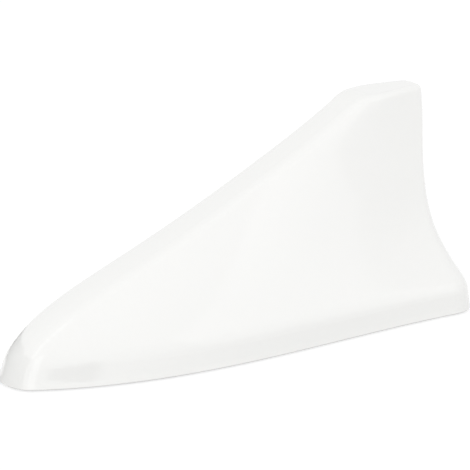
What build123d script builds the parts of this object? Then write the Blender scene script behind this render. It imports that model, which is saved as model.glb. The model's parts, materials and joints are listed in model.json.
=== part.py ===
"""Shark fin roof aerial: a moulded cover screwed to a base plate that carries the amplifier and the aerial element."""
import math
import os

from build123d import *

os.makedirs("parts", exist_ok=True)

# Overall form in millimetres: the nose points to -X, the tail to +X, and the roof is at Z = 0
aerial_length = 166.0
fin_height = 71.0
nose_x = -aerial_length / 2
tail_x = aerial_length / 2

# Footprint half-widths at the nose corner, at two shares of the length, and at the tail corner
nose_half = 8.5
fore_half = 21.6
middle_half = 27.6
tail_half = 29.6
fore_share = 0.2
middle_share = 0.5

# Crest half-widths at the same four places, and how quickly the flanks flare out below each of them
crest_nose_half = 6.2
crest_fore_half = 7.2
crest_middle_half = 7.0
crest_tail_half = 4.8
nose_flare = 3.2
fore_flare = 2.0
middle_flare = 1.9
tail_flare = 3.35

# Outline details at the foot and at the crest: depth of the bowed ends and radius of the corners
foot_nose_bow = 2.5
foot_tail_bow = 3.0
foot_nose_corner = 8.0
foot_tail_corner = 9.0
crest_nose_bow = 0.6
crest_tail_bow = 1.0
crest_nose_corner = 3.5
crest_tail_corner = 3.0
nose_bow_fade = 3
tail_bow_fade = 2
nose_corner_fade = 4
tail_corner_fade = 2

# Rounded edge of the crest, and how much further its front is rounded than its sides
crest_edge_radius = 1.8
brow_stretch = 1.4

# Skirt: bevelled rim, flared lip, drafted wall and the shoulder where the fin begins
rim_z = 0.3
rim_bevel = 0.5
lip_height = 3.0
lip_flare = 0.5
wall_height = 5.6
wall_draft = 0.7
shoulder_z = 9.4
shoulder_inset = 1.0
shoulder_round = 2.8

# Fin: where its spine and tail lines start and end, with their course as shares of their own run and rise
nose_lean = 3.8
tail_lean = 0.8
crest_length = 25.8
crest_setback = 7.1
spine_course = [(0, 0), (0.076, 0.12), (0.325, 0.349), (0.67, 0.649), (1, 1)]
tail_course = [(0, 0), (0.619, 0.2), (0.825, 0.549), (1, 1)]

# Cover wall: thickness, how far the hollow lags below the outside, and the thin lip round the base plate
cover_wall = 2.4
hollow_lag = 1.0
crown_wall = 2.4
lip_wall = 1.4

# Stack from the roof up: pad, plate, seal
pad_thickness = 1.0
plate_thickness = 2.4
seal_thickness = 0.8
plate_z = pad_thickness
plate_top = plate_z + plate_thickness
ledge_z = plate_top + seal_thickness
plate_gap = 0.25
seal_width = 1.8
pad_margin = 1.2

# Screws that hold the cover, placed from the well, the tail and the edge of the footprint
front_screw_gap = 15.0
front_screw_edge = 11.0
rear_screw_front = 21.0
rear_screw_edge = 8.8
screw_radius = 1.3
screw_length = 9.0
screw_head_radius = 2.5
screw_head_height = 1.6
screw_recess = 2.0
screw_play = 0.2
thread_play = 0.05
post_radius = 3.0
screw_pad_radius = 3.4
screw_pad_height = 1.4

# Well for the stub that is already on the roof
well_length = 60.0
well_width = 32.0
well_corner = 9.0
well_wall = 1.6
well_wall_height = 7.0
pad_well_gap = 1.0

# Stiffening rib from the well towards the nose of the plate
nose_rib_back = 23.4
nose_rib_width = 1.4
nose_rib_height = 3.0

# Amplifier board on its standoffs, behind the well
board_gap = 3.4
board_length = 36.0
board_rear_gap = 10.0
board_side_gap = 0.8
board_thickness = 1.6
board_corner = 2.0
standoff_height = 3.0
standoff_radius = 2.4
board_screw_inset = 3.6
board_screw_radius = 1.0
board_screw_length = 5.0
board_screw_head_radius = 2.0
board_screw_head_height = 1.2
pilot_spare = 0.4

# Upright element board with its tabs
element_thickness = 1.6
element_foot_back = 13.0
element_rear_gap = 12.0
element_brow_z = 30.0
element_setback = 11.0
element_corner = 2.5
tab_length = 5.0
tab_pitch = 10.0
tab_depth = 2.2
tab_play = 0.1
crown_tab_height = 0.9

# Folded top plate on the element, and the foam on it
top_plate_front = 2.0
top_plate_rear = 1.0
top_plate_half = 2.8
top_plate_sheet = 0.4
top_plate_drop = 9.0
rattle_pad_height = 3.0
rattle_pad_length = 17.0
rattle_pad_width = 4.0
rattle_gap = 0.4

# Coil on its former
former_back = 6.0
former_core = 2.8
former_flange = 4.6
former_flange_height = 1.2
former_height = 12.4
coil_turns = 5
coil_play = 0.05

# Parts on the amplifier board, placed from its edges and from each other
can_length = 18.0
can_edge_gap = 2.4
can_height = 4.0
can_sheet = 0.3
can_gap = 0.4
can_side = 2.6
chip_length = 5.0
chip_width = 4.4
chip_height = 1.2
chip_shift = 4.0
capacitor_length = 1.6
capacitor_width = 0.8
capacitor_height = 0.9
capacitor_pitch_x = 3.0
capacitor_pitch_y = 4.0
capacitor_shift = 3.6
inductor_size = 2.5
inductor_height = 2.0
inductor_pitch = 3.1
inductor_gap = 1.0
coax_gap = 0.9
coax_edge_gap = 3.9
coax_base = 7.0
coax_base_height = 3.0
coax_barrel_radius = 2.8
coax_barrel_height = 5.0
coax_bore_radius = 1.9
coax_pin_radius = 0.5
coax_pin_drop = 1.2
power_gap = 2.6
power_edge_gap = 4.7
power_length = 7.0
power_width = 5.4
power_height = 6.0
power_wall = 0.8
power_pin_width = 0.6
power_pin_pitch = 2.5
power_pin_drop = 1.2

# Grommet in the rear wall of the well
grommet_neck = 2.4
grommet_flange = 3.2
grommet_flange_width = 1.2
grommet_bore = 1.5
grommet_play = 0.1
grommet_rise = 3.4

hollow_top = fin_height - crown_wall
crest_start = fin_height - crest_edge_radius
crest_levels = [crest_start + crest_edge_radius * math.sin(math.radians(turn)) for turn in (0, 30, 60, 90)]
fin_rises = [0.0, 0.2, 0.4, 0.6, 0.8, 1.0]
rim_top = rim_z + rim_bevel
rim_levels = [rim_z, rim_top]
skirt_profile = [(rim_top, 0.0), (lip_height, lip_flare), (wall_height, wall_draft), (shoulder_z, shoulder_inset)]
skirt_levels = [rim_top, lip_height, wall_height, shoulder_z - shoulder_round]
shoulder_levels = [shoulder_z + shoulder_round * turn for turn in (-1, -1 / 3, 1 / 3, 1)]
aft = Vector(1, 0, 0)
up = Vector(0, 0, 1)


def fin_line(foot_x, crest_x, course):
    """Line in the middle plane that climbs from the shoulder to the crest along a course."""
    rise = fin_height - shoulder_z
    return Spline(*[(foot_x + run * (crest_x - foot_x), 0, shoulder_z + climb * rise) for run, climb in course])


def crossing(line, direction, reach):
    """Point of a line, found by halving, where it has come as far as a reach along a direction."""
    low, high = 0.0, 1.0
    for _ in range(40):
        middle = (low + high) / 2
        if (line @ middle).dot(direction) < reach:
            low = middle
        else:
            high = middle
    return line @ low


crest_rear_x = tail_x - crest_setback
crest_front_x = crest_rear_x - crest_length
spine_line = fin_line(nose_x + nose_lean, crest_front_x, spine_course)
tail_line = fin_line(tail_x - tail_lean, crest_rear_x, tail_course)
edge_line = Spline(
    (nose_x + foot_nose_bow, nose_half),
    (nose_x + fore_share * aerial_length, fore_half),
    (nose_x + middle_share * aerial_length, middle_half),
    (tail_x - foot_tail_bow, tail_half),
)

# Places on the plate, from the tail forwards
board_rear_x = tail_x - board_rear_gap
board_front_x = board_rear_x - board_length
board_middle_x = (board_front_x + board_rear_x) / 2
well_rear_x = board_front_x - board_gap
well_front_x = well_rear_x - well_length - 2 * well_wall
well_x = (well_front_x + well_rear_x) / 2
rear_screw_x = tail_x - rear_screw_front
rear_screw_y = crossing(edge_line, aft, rear_screw_x).Y - rear_screw_edge
front_screw_x = well_front_x - front_screw_gap - screw_pad_radius
front_screw_y = crossing(edge_line, aft, front_screw_x).Y - front_screw_edge
screw_spots = [
    (front_screw_x, front_screw_y),
    (front_screw_x, -front_screw_y),
    (rear_screw_x, rear_screw_y),
    (rear_screw_x, -rear_screw_y),
]
seat_z = plate_top + screw_pad_height
head_seat_z = plate_z + screw_recess

# Places on the board
board_half = rear_screw_y - screw_pad_radius - board_side_gap
board_z = plate_top + standoff_height
board_top = board_z + board_thickness
board_screw_pitch_x = board_length - 2 * board_screw_inset
board_screw_pitch_y = 2 * (board_half - board_screw_inset)
former_x = board_front_x + former_back
can_width = board_half - can_side - can_edge_gap
can_x = former_x + former_flange + can_gap + can_length / 2
can_y = -(can_side + can_width / 2)
coax_x = board_rear_x - board_screw_inset - board_screw_head_radius - coax_gap - coax_base / 2
coax_y = board_half - coax_edge_gap - coax_base / 2
power_x = coax_x - coax_base / 2 - power_gap - power_length / 2
power_y = board_half - power_edge_gap - power_width / 2
inductor_x = power_x - power_length / 2 - inductor_gap - (inductor_pitch + inductor_size) / 2
inductor_y = former_flange + inductor_gap + inductor_size / 2

# Places on the element
element_top_z = hollow_top - rattle_gap - rattle_pad_height - top_plate_sheet
element_foot_x = board_front_x + element_foot_back
element_rear_x = tail_x - element_rear_gap
element_tip_x = crossing(spine_line, up, element_brow_z).X + element_setback
element_crown_x = crossing(spine_line, up, element_top_z).X + element_setback
tab_middle_x = (element_foot_x + element_rear_x) / 2
top_plate_length = element_rear_x - top_plate_rear - element_crown_x - top_plate_front
top_plate_middle_x = element_crown_x + top_plate_front + top_plate_length / 2


def ends(height):
    """X of the nose and of the tail at a height."""
    if height < shoulder_z:
        share = max(0.0, height - rim_top) / (shoulder_z - rim_top)
        return nose_x + nose_lean * share, tail_x - tail_lean * share
    return crossing(spine_line, up, height).X, crossing(tail_line, up, height).X


def skirt_inset(height):
    """How far the skirt stands in from the footprint at a height."""
    for (low_z, low), (high_z, high) in zip(skirt_profile, skirt_profile[1:]):
        if height <= high_z:
            break
    return low + (high - low) * max(0.0, height - low_z) / (high_z - low_z)


def fall_at(height):
    """One at the shoulder and below it, zero at the crest."""
    return min(1.0, 1.0 - (height - shoulder_z) / (fin_height - shoulder_z))


def half_widths(height):
    """Half-widths at the nose corner, the two shares of the length and the tail corner."""
    foot = [nose_half, fore_half, middle_half, tail_half]
    crest = [crest_nose_half, crest_fore_half, crest_middle_half, crest_tail_half]
    flare = [nose_flare, fore_flare, middle_flare, tail_flare]
    if height <= shoulder_z:
        return [half - skirt_inset(height) for half in foot]
    fall = fall_at(height)
    return [top + (half - shoulder_inset - top) * fall**power for half, top, power in zip(foot, crest, flare)]


def crest_inset(height):
    """How far the rounded edge of the crest stands in at a height."""
    climb = min(max(0.0, height - crest_start), crest_edge_radius)
    return crest_edge_radius - math.sqrt(crest_edge_radius**2 - climb**2)


def rim_inset(height):
    """How far the bevel of the rim stands in at a height."""
    return max(0.0, rim_top - height)


def fin_levels(foot, top):
    """Evenly spread heights between a foot and a top."""
    return [foot + rise * (top - foot) for rise in fin_rises]


def sharp_sizes(height):
    """Ends, half-widths, bows and corners of the cover's outline at a height, with a sharp shoulder."""
    front_x, rear_x = ends(height)
    fall = fall_at(height)
    inset = crest_inset(height) + rim_inset(height)
    return [
        front_x + brow_stretch * crest_inset(height) + rim_inset(height),
        rear_x - inset,
        *[half - inset for half in half_widths(height)],
        crest_nose_bow + (foot_nose_bow - crest_nose_bow) * fall**nose_bow_fade,
        crest_tail_bow + (foot_tail_bow - crest_tail_bow) * fall**tail_bow_fade,
        crest_nose_corner + (foot_nose_corner - crest_nose_corner) * fall**nose_corner_fade - inset,
        crest_tail_corner + (foot_tail_corner - crest_tail_corner) * fall**tail_corner_fade - inset,
    ]


def outline_sizes(height):
    """Sizes of the cover's outline at a height, with the shoulder rounded."""
    turn = (height - shoulder_z + shoulder_round) / (2 * shoulder_round)
    if not 0 < turn < 1:
        return sharp_sizes(height)
    below = sharp_sizes(shoulder_z - shoulder_round)
    edge = sharp_sizes(shoulder_z)
    above = sharp_sizes(shoulder_z + shoulder_round)
    weights = ((1 - turn) ** 2, 2 * turn * (1 - turn), turn**2)
    return [sum(w * size for w, size in zip(weights, sizes)) for sizes in zip(below, edge, above)]


def cover_outline(height, inset, plane_z):
    """Draw the cover's outline at a height, moved inwards by an inset, on the level plane_z."""
    front_x, rear_x, *outer, nose_bow, tail_bow, nose_corner, tail_corner = outline_sizes(height)
    front_x = front_x + inset
    rear_x = rear_x - inset
    nose, fore, middle, tail = [half - inset for half in outer]
    nose_bow = nose_bow * (nose / outer[0]) ** 2
    tail_bow = tail_bow * (tail / outer[-1]) ** 2
    fore_x = front_x + fore_share * (rear_x - front_x)
    middle_x = front_x + middle_share * (rear_x - front_x)
    least_corner = crest_tail_corner - cover_wall
    with BuildSketch(Plane.XY.offset(plane_z)) as outline:
        with BuildLine():
            ThreePointArc((front_x + nose_bow, -nose), (front_x, 0), (front_x + nose_bow, nose))
            Spline((front_x + nose_bow, nose), (fore_x, fore), (middle_x, middle), (rear_x - tail_bow, tail))
            ThreePointArc((rear_x - tail_bow, tail), (rear_x, 0), (rear_x - tail_bow, -tail))
            Spline((rear_x - tail_bow, -tail), (middle_x, -middle), (fore_x, -fore), (front_x + nose_bow, -nose))
        make_face()
        fillet(outline.vertices().group_by(Axis.X)[0], radius=max(nose_corner - inset, least_corner))
        fillet(outline.vertices().group_by(Axis.X)[-1], radius=max(tail_corner - inset, least_corner))
    return outline.sketch


# Outer form of the cover, solid
with BuildPart() as cover_form:
    rising_levels = fin_levels(shoulder_z + shoulder_round, crest_start)
    for levels in (rim_levels, skirt_levels, shoulder_levels, rising_levels, crest_levels):
        loft([cover_outline(level, 0.0, level) for level in levels])

# Hollow inside the cover
with BuildPart() as cover_hollow:
    for levels in ([plate_top, shoulder_z], fin_levels(shoulder_z, hollow_top)):
        loft([cover_outline(level + hollow_lag, cover_wall, level) for level in levels])

# Rebate for the base plate at the rim
with BuildPart() as cover_rebate:
    extrude(cover_outline(ledge_z, lip_wall, rim_z), amount=ledge_z - rim_z)

# Screw posts that hang from the flanks
with BuildPart() as cover_posts:
    with BuildSketch(Plane.XY.offset(seat_z)):
        with Locations(*screw_spots):
            Circle(post_radius)
    extrude(amount=fin_height)
    add(cover_form.part, mode=Mode.INTERSECT)

# Moulded cover
with BuildPart() as cover_shell:
    add(cover_form.part)
    add(cover_hollow.part, mode=Mode.SUBTRACT)
    add(cover_rebate.part, mode=Mode.SUBTRACT)
    add(cover_posts.part)
    with BuildSketch(Plane.XY.offset(seat_z)):
        with Locations(*screw_spots):
            Circle(screw_radius + thread_play)
    extrude(amount=head_seat_z + screw_length + pilot_spare - seat_z, mode=Mode.SUBTRACT)

# Base plate
with BuildPart() as base_plate:
    extrude(cover_outline(ledge_z, lip_wall + plate_gap, plate_z), amount=plate_thickness)
    with BuildSketch(Plane.XY.offset(plate_top)):
        with Locations((well_x, 0)):
            RectangleRounded(well_length + 2 * well_wall, well_width + 2 * well_wall, well_corner + well_wall)
    extrude(amount=well_wall_height)
    with BuildSketch(Plane.XY.offset(plate_top)):
        with Locations(*screw_spots):
            Circle(screw_pad_radius)
    extrude(amount=screw_pad_height)
    with BuildSketch(Plane.XY.offset(plate_top)):
        with Locations((board_middle_x, 0)):
            with GridLocations(board_screw_pitch_x, board_screw_pitch_y, 2, 2):
                Circle(standoff_radius)
    extrude(amount=standoff_height)
    with BuildSketch(Plane.XY.offset(plate_top)):
        rib_front_x = nose_x + nose_rib_back
        with Locations(((rib_front_x + well_front_x) / 2, 0)):
            Rectangle(well_front_x - rib_front_x, nose_rib_width)
    extrude(amount=nose_rib_height)
    with BuildSketch(Plane.XY.offset(plate_z)):
        with Locations((well_x, 0)):
            RectangleRounded(well_length, well_width, well_corner)
    extrude(amount=plate_thickness + well_wall_height, mode=Mode.SUBTRACT)
    with Locations(*[Plane((x, y, plate_z), z_dir=(0, 0, -1)) for x, y in screw_spots]):
        CounterBoreHole(screw_radius + screw_play, screw_head_radius + screw_play, screw_recess)
    with Locations((board_middle_x, 0, board_z)):
        with GridLocations(board_screw_pitch_x, board_screw_pitch_y, 2, 2):
            Hole(board_screw_radius + thread_play, board_screw_length - board_thickness + pilot_spare)
    grommet_z = plate_top + grommet_rise
    notch_height = plate_top + well_wall_height - grommet_z
    with BuildSketch(Plane.YZ.offset(well_rear_x - well_wall)):
        with Locations((0, grommet_z)):
            Circle(grommet_neck + grommet_play)
        with Locations((0, grommet_z + notch_height / 2)):
            Rectangle(2 * (grommet_neck + grommet_play), notch_height)
    extrude(amount=well_wall, mode=Mode.SUBTRACT)

# Seal between the plate and the cover's ledge
with BuildPart() as cover_seal:
    seal_inset = lip_wall + plate_gap
    extrude(cover_outline(ledge_z, seal_inset, plate_top), amount=seal_thickness)
    seal_hole = cover_outline(ledge_z, seal_inset + seal_width, plate_top)
    extrude(seal_hole, amount=seal_thickness, mode=Mode.SUBTRACT)

# Foam tape under the plate
with BuildPart() as adhesive_pad:
    extrude(cover_outline(ledge_z, lip_wall + plate_gap + pad_margin, 0.0), amount=pad_thickness)
    with BuildSketch():
        with Locations((well_x, 0)):
            RectangleRounded(well_length + 2 * pad_well_gap, well_width + 2 * pad_well_gap, well_corner + pad_well_gap)
    extrude(amount=pad_thickness, mode=Mode.SUBTRACT)

# Cover screws, heads down
with BuildPart() as cover_screws:
    with BuildSketch(Plane.XY.offset(head_seat_z - screw_head_height)):
        with Locations(*screw_spots):
            Circle(screw_head_radius)
    extrude(amount=screw_head_height)
    chamfer(cover_screws.edges().group_by(Axis.Z)[0], length=screw_head_height / 2)
    with BuildSketch(Plane.XY.offset(head_seat_z)):
        with Locations(*screw_spots):
            Circle(screw_radius)
    extrude(amount=screw_length)
    chamfer(cover_screws.edges().group_by(Axis.Z)[-1], length=screw_radius / 2)

# Amplifier board
with BuildPart() as amplifier_board:
    with BuildSketch(Plane.XY.offset(board_z)):
        with Locations((board_middle_x, 0)):
            RectangleRounded(board_length, 2 * board_half, board_corner)
            with GridLocations(board_screw_pitch_x, board_screw_pitch_y, 2, 2):
                Circle(board_screw_radius + screw_play, mode=Mode.SUBTRACT)
        with Locations((tab_middle_x, 0)):
            with GridLocations(tab_pitch, 0, 2, 1):
                Rectangle(tab_length + 2 * tab_play, element_thickness + 2 * tab_play, mode=Mode.SUBTRACT)
    extrude(amount=board_thickness)

# Board screws
with BuildPart() as board_screws:
    with BuildSketch(Plane.XY.offset(board_top)):
        with Locations((board_middle_x, 0)):
            with GridLocations(board_screw_pitch_x, board_screw_pitch_y, 2, 2):
                Circle(board_screw_head_radius)
    extrude(amount=board_screw_head_height)
    chamfer(board_screws.edges().group_by(Axis.Z)[-1], length=board_screw_head_height / 2)
    with BuildSketch(Plane.XY.offset(board_top)):
        with Locations((board_middle_x, 0)):
            with GridLocations(board_screw_pitch_x, board_screw_pitch_y, 2, 2):
                Circle(board_screw_radius)
    extrude(amount=-board_screw_length)

# Upright element board
with BuildPart() as element_board:
    with BuildSketch(Plane.XZ) as element_face:
        with BuildLine():
            Polyline(
                (element_foot_x, board_top),
                (element_foot_x, element_brow_z),
                (element_tip_x, element_brow_z),
                (element_crown_x, element_top_z),
                (element_rear_x, element_top_z),
                (element_rear_x, board_top),
                close=True,
            )
        make_face()
        fillet(element_face.vertices().filter_by(lambda v: v.Z > board_top), radius=element_corner)
        with Locations((tab_middle_x, board_top - tab_depth / 2)):
            with GridLocations(tab_pitch, 0, 2, 1):
                Rectangle(tab_length, tab_depth)
        with Locations((top_plate_middle_x, element_top_z + crown_tab_height / 2)):
            with GridLocations(tab_pitch, 0, 2, 1):
                Rectangle(tab_length, crown_tab_height)
    extrude(amount=element_thickness / 2, both=True)

# Folded top plate
with BuildPart() as top_plate:
    with BuildSketch(Plane.YZ.offset(top_plate_middle_x - top_plate_length / 2)):
        with Locations((0, element_top_z + top_plate_sheet - top_plate_drop / 2)):
            Rectangle(2 * top_plate_half, top_plate_drop)
        with Locations((0, element_top_z - top_plate_drop / 2)):
            Rectangle(2 * (top_plate_half - top_plate_sheet), top_plate_drop, mode=Mode.SUBTRACT)
    extrude(amount=top_plate_length)
    with BuildSketch(Plane.XY.offset(element_top_z)):
        with Locations((top_plate_middle_x, 0)):
            with GridLocations(tab_pitch, 0, 2, 1):
                Rectangle(tab_length + 2 * tab_play, element_thickness + 2 * tab_play)
    extrude(amount=top_plate_sheet, mode=Mode.SUBTRACT)

# Foam on the top plate, pierced for the element's tabs
with BuildPart() as rattle_pad:
    with BuildSketch(Plane.XY.offset(element_top_z + top_plate_sheet)):
        with Locations((top_plate_middle_x, 0)):
            Rectangle(rattle_pad_length, rattle_pad_width)
            with GridLocations(tab_pitch, 0, 2, 1):
                Rectangle(tab_length + 2 * tab_play, element_thickness + 2 * tab_play, mode=Mode.SUBTRACT)
    extrude(amount=rattle_pad_height)

# Former of the loading coil
with BuildPart() as coil_former:
    with BuildSketch(Plane.XY.offset(board_top)):
        with Locations((former_x, 0)):
            Circle(former_core)
    extrude(amount=former_height)
    for flange_z in (board_top, board_top + former_height - former_flange_height):
        with BuildSketch(Plane.XY.offset(flange_z)):
            with Locations((former_x, 0)):
                Circle(former_flange)
        extrude(amount=former_flange_height)

# Winding on the former, a ridge for each turn
winding_height = former_height - 2 * former_flange_height
wire_radius = winding_height / coil_turns / 2
winding_z = board_top + former_flange_height
with BuildPart() as loading_coil:
    with BuildSketch(Plane.XZ) as winding:
        with Locations((former_x + former_core + coil_play + wire_radius / 2, winding_z + winding_height / 2)):
            Rectangle(wire_radius, winding_height)
        with BuildLine():
            for turn in range(coil_turns):
                low_z = winding_z + 2 * turn * wire_radius
                face_x = former_x + former_core + coil_play + wire_radius
                ThreePointArc(
                    (face_x, low_z),
                    (face_x + wire_radius / 2, low_z + wire_radius),
                    (face_x, low_z + 2 * wire_radius),
                )
            Line((face_x, winding_z + winding_height), (face_x, winding_z))
        make_face()
    revolve(axis=Axis((former_x, 0, 0), (0, 0, 1)))

# Shield over the amplifier
with BuildPart() as shield_can:
    with BuildSketch(Plane.XY.offset(board_top)):
        with Locations((can_x, can_y)):
            Rectangle(can_length, can_width)
    extrude(amount=can_height)
    offset(amount=-can_sheet, openings=shield_can.faces().sort_by(Axis.Z)[0])

# Amplifier chip under the shield
with BuildPart() as amplifier_chip:
    with BuildSketch(Plane.XY.offset(board_top)):
        with Locations((can_x - chip_shift, can_y)):
            Rectangle(chip_length, chip_width)
    extrude(amount=chip_height)

# Capacitors beside the chip
with BuildPart() as chip_capacitors:
    with BuildSketch(Plane.XY.offset(board_top)):
        with Locations((can_x + capacitor_shift, can_y)):
            with GridLocations(capacitor_pitch_x, capacitor_pitch_y, 2, 2):
                Rectangle(capacitor_length, capacitor_width)
    extrude(amount=capacitor_height)

# Wound inductors in front of the sockets
with BuildPart() as chip_inductors:
    with BuildSketch(Plane.XY.offset(board_top)):
        with Locations((inductor_x, inductor_y)):
            with GridLocations(inductor_pitch, 0, 2, 1):
                Rectangle(inductor_size, inductor_size)
    extrude(amount=inductor_height)

# Socket for the radio lead
with BuildPart() as coax_socket:
    with BuildSketch(Plane.XY.offset(board_top)):
        with Locations((coax_x, coax_y)):
            Rectangle(coax_base, coax_base)
    extrude(amount=coax_base_height)
    with BuildSketch(Plane.XY.offset(board_top + coax_base_height)):
        with Locations((coax_x, coax_y)):
            Circle(coax_barrel_radius)
            Circle(coax_bore_radius, mode=Mode.SUBTRACT)
    extrude(amount=coax_barrel_height)

# Centre pin of that socket
with BuildPart() as coax_contact:
    with BuildSketch(Plane.XY.offset(board_top + coax_base_height)):
        with Locations((coax_x, coax_y)):
            Circle(coax_pin_radius)
    extrude(amount=coax_barrel_height - coax_pin_drop)
    chamfer(coax_contact.edges().group_by(Axis.Z)[-1], length=coax_pin_radius / 2)

# Socket for the feed
with BuildPart() as power_socket:
    with BuildSketch(Plane.XY.offset(board_top)):
        with Locations((power_x, power_y)):
            Rectangle(power_length, power_width)
    extrude(amount=power_height)
    with BuildSketch(Plane.XY.offset(board_top + power_wall)):
        with Locations((power_x, power_y)):
            Rectangle(power_length - 2 * power_wall, power_width - 2 * power_wall)
    extrude(amount=power_height - power_wall, mode=Mode.SUBTRACT)

# Pins of that socket
with BuildPart() as power_pins:
    with BuildSketch(Plane.XY.offset(board_top + power_wall)):
        with Locations((power_x, power_y)):
            with GridLocations(power_pin_pitch, 0, 2, 1):
                Rectangle(power_pin_width, power_pin_width)
    extrude(amount=power_height - power_wall - power_pin_drop)

# Grommet where the lead comes in
with BuildPart() as lead_grommet:
    with BuildSketch(Plane.YZ.offset(well_rear_x - well_wall - grommet_flange_width)):
        with Locations((0, grommet_z)):
            Circle(grommet_flange)
    extrude(amount=grommet_flange_width)
    with BuildSketch(Plane.YZ.offset(well_rear_x - well_wall)):
        with Locations((0, grommet_z)):
            Circle(grommet_neck)
    extrude(amount=well_wall)
    with BuildSketch(Plane.YZ.offset(well_rear_x)):
        with Locations((0, grommet_z)):
            Circle(grommet_flange)
    extrude(amount=grommet_flange_width)
    with BuildSketch(Plane.YZ.offset(well_rear_x - well_wall - grommet_flange_width)):
        with Locations((0, grommet_z)):
            Circle(grommet_bore)
    extrude(amount=well_wall + 2 * grommet_flange_width, mode=Mode.SUBTRACT)

pieces = {
    "cover_shell": cover_shell,
    "base_plate": base_plate,
    "cover_seal": cover_seal,
    "adhesive_pad": adhesive_pad,
    "cover_screws": cover_screws,
    "amplifier_board": amplifier_board,
    "board_screws": board_screws,
    "element_board": element_board,
    "top_plate": top_plate,
    "rattle_pad": rattle_pad,
    "coil_former": coil_former,
    "loading_coil": loading_coil,
    "shield_can": shield_can,
    "amplifier_chip": amplifier_chip,
    "chip_capacitors": chip_capacitors,
    "chip_inductors": chip_inductors,
    "coax_socket": coax_socket,
    "coax_contact": coax_contact,
    "power_socket": power_socket,
    "power_pins": power_pins,
    "lead_grommet": lead_grommet,
}
for name, piece in pieces.items():
    piece.part.label = name
    export_step(piece.part, f"parts/{name}.step")
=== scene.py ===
"""Looks of a shark fin roof aerial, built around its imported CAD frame.

Wire, Graph and Maker write node trees as expressions. With them, the finishes dress the CAD nodes, and
the sub-assemblies make the pieces that the CAD model leaves plain. The camera and the studio follow the
photograph. Everything is in metres, apart from the sizes of sub-assemblies, which are in millimetres and
are multiplied by MM.
"""

from __future__ import annotations

import json
import logging
import math
from dataclasses import dataclass, field
from enum import Enum
from typing import Any, Mapping, Optional, Sequence, Union

import bmesh
import bpy
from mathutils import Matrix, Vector

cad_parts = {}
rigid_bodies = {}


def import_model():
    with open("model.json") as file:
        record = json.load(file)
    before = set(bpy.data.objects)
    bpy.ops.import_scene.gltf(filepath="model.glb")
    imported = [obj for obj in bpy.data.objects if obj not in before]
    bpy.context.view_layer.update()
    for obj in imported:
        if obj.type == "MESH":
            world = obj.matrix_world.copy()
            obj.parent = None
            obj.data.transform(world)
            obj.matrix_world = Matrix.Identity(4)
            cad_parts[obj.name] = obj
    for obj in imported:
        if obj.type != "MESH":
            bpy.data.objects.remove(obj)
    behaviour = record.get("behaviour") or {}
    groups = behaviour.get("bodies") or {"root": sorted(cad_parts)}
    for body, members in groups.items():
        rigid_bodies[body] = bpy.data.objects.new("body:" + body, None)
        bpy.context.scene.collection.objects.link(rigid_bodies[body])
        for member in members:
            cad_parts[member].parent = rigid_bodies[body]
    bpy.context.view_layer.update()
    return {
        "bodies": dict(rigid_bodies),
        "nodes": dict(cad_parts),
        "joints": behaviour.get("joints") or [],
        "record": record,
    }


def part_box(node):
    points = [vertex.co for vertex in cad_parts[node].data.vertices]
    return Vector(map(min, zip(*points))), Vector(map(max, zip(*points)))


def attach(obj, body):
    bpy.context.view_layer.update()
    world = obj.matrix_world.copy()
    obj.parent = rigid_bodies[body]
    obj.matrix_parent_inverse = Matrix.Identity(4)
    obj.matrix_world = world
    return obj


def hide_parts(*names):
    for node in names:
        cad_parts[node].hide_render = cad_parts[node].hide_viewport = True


log = logging.getLogger("aerial")

Color = tuple[float, float, float]
Point = tuple[float, float, float]
Stops = tuple[tuple[float, float], tuple[float, float]]
Value = Union[float, Sequence[float], "Wire", "list[Wire]", bpy.types.Material]
Inputs = Mapping[Union[str, int], Value]
Frame = Mapping[str, Any]

MM = 0.001
SHARP_EDGE = math.radians(38.0)
QUARTER_TURN = math.pi / 2
UNMOVED = UNTURNED = (0.0, 0.0, 0.0)
BOTH_SIDES = (-1.0, 1.0)
NOISE_MIDDLE = 0.5
MIX_FIRST_COLOR, MIX_SECOND_COLOR, MIXED_COLOR = 6, 7, 2


class Axis(Enum):
    """Axis of the frame that a pattern runs along."""

    X = 0
    Y = 1
    Z = 2


class Print(Enum):
    """What is printed on a circuit board."""

    AMPLIFIER = "short tracks both ways"
    ELEMENT = "meander of the aerial element"


class Heads(Enum):
    """Way that the heads of a set of screws point, as a turn about the X axis."""

    UP = 0.0
    DOWN = math.pi


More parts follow.
